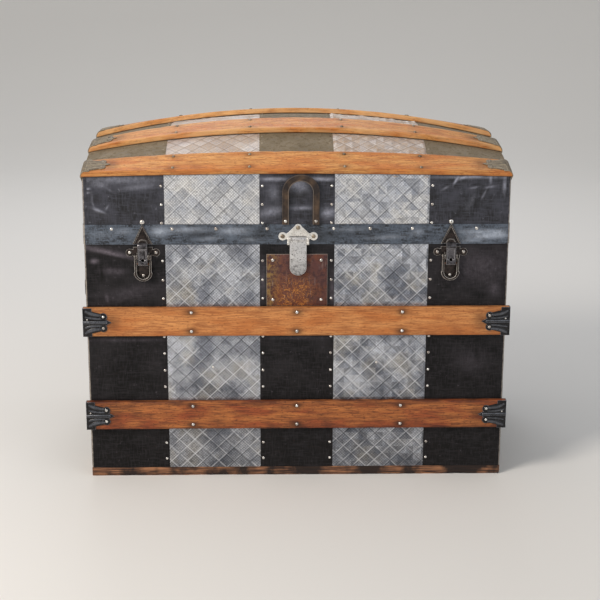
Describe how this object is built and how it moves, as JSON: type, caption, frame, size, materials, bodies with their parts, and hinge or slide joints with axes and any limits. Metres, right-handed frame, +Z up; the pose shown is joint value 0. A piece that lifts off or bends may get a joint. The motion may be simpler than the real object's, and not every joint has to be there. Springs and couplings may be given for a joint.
{
  "type": "dome top trunk",
  "caption": "Dome top storage trunk: sheet-covered pine box with bent hardwood slats, hinged curved lid, hasp and draw catches.",
  "frame": {"origin": "on the floor under the middle of the box", "axes": "+X to the viewer's right along the length, +Y to the back, +Z up; the front face looks along -Y"},
  "size_m": [0.873, 0.5115, 0.6898],
  "materials": {
    "pine_board": "raw",
    "hardwood_slat": "worn varnish",
    "japanned_sheet": "worn satin",
    "stamped_tin": "stained",
    "steel_band": "worn satin",
    "japanned_clamp": "worn satin",
    "plated_steel": "speckled plating",
    "rusty_plate": "rusty",
    "nail_steel": "worn",
    "cast_iron": "dull",
    "harness_leather": "dull",
    "lining_paper": "aged paper"
  },
  "bodies": {
    "box": {"base_front_board": "pine_board", "base_back_board": "pine_board", "base_left_end_board": "pine_board", "base_right_end_board": "pine_board", "base_bottom_board": "pine_board", "tray_cleats": "pine_board", "front_upper_slat": "hardwood_slat", "front_lower_slat": "hardwood_slat", "back_upper_slat": "hardwood_slat", "back_lower_slat": "hardwood_slat", "base_left_cover": "japanned_sheet", "base_right_cover": "japanned_sheet", "base_centre_cover": "japanned_sheet", "base_back_cover": "japanned_sheet", "base_left_tin": "stamped_tin", "base_right_tin": "stamped_tin", "front_slat_clamps": "japanned_clamp", "back_slat_clamps": "japanned_clamp", "catch_base_plates": "plated_steel", "catch_lever_pins": "plated_steel", "lock_plate": "rusty_plate", "base_nails": "nail_steel", "handle_caps": "cast_iron", "hinge_box_leaves": "cast_iron", "hinge_pins": "cast_iron", "left_handle": "harness_leather", "right_handle": "harness_leather", "base_lining": "lining_paper"},
    "lid": {"lid_front_board": "pine_board", "lid_back_board": "pine_board", "lid_left_end_board": "pine_board", "lid_right_end_board": "pine_board", "lid_staves": "pine_board", "lid_lining": "lining_paper", "lid_left_cover": "japanned_sheet", "lid_right_cover": "japanned_sheet", "lid_centre_cover": "japanned_sheet", "lid_end_covers": "japanned_sheet", "lid_left_tin": "stamped_tin", "lid_right_tin": "stamped_tin", "lid_band": "steel_band", "lid_front_edge_slat": "hardwood_slat", "lid_front_crown_slat": "hardwood_slat", "lid_back_crown_slat": "hardwood_slat", "lid_back_edge_slat": "hardwood_slat", "lid_slat_clamps": "japanned_clamp", "lid_nails": "nail_steel", "hasp_plate": "plated_steel", "hasp_pin": "plated_steel", "catch_keepers": "plated_steel", "leather_loop": "harness_leather", "hinge_lid_leaves": "cast_iron"},
    "hasp_tongue": {"hasp_tongue": "plated_steel"},
    "left_catch_lever": {"left_catch_lever": "plated_steel", "left_catch_hook_pin": "plated_steel"},
    "left_catch_hook": {"left_catch_hook": "plated_steel"},
    "right_catch_lever": {"right_catch_lever": "plated_steel", "right_catch_hook_pin": "plated_steel"},
    "right_catch_hook": {"right_catch_hook": "plated_steel"}
  },
  "joints": [
    {"name": "lid_hinge", "type": "hinge", "parent": "box", "child": "lid", "pos_m": [0, 0.2477, 0.47425], "axis": [-1, 0, 0], "range_deg": [0, 100]},
    {"name": "hasp_hinge", "type": "hinge", "parent": "lid", "child": "hasp_tongue", "pos_m": [0.002, -0.2473, 0.486], "axis": [-1, 0, 0], "range_deg": [0, 150]},
    {"name": "left_lever_pivot", "type": "hinge", "parent": "box", "child": "left_catch_lever", "pos_m": [-0.2945, -0.2505, 0.452], "axis": [-1, 0, 0], "range_deg": [0, 150]},
    {"name": "left_hook_pivot", "type": "hinge", "parent": "left_catch_lever", "child": "left_catch_hook", "pos_m": [-0.2945, -0.2477, 0.438], "axis": [-1, 0, 0], "range_deg": [-150, 0]},
    {"name": "right_lever_pivot", "type": "hinge", "parent": "box", "child": "right_catch_lever", "pos_m": [0.2945, -0.2505, 0.452], "axis": [-1, 0, 0], "range_deg": [0, 150]},
    {"name": "right_hook_pivot", "type": "hinge", "parent": "right_catch_lever", "child": "right_catch_hook", "pos_m": [0.2945, -0.2477, 0.438], "axis": [-1, 0, 0], "range_deg": [-150, 0]}
  ],
  "couplings": [
    {"joint": "left_hook_pivot", "follows": "left_lever_pivot", "ratio": -1},
    {"joint": "right_hook_pivot", "follows": "right_lever_pivot", "ratio": -1}
  ]
}
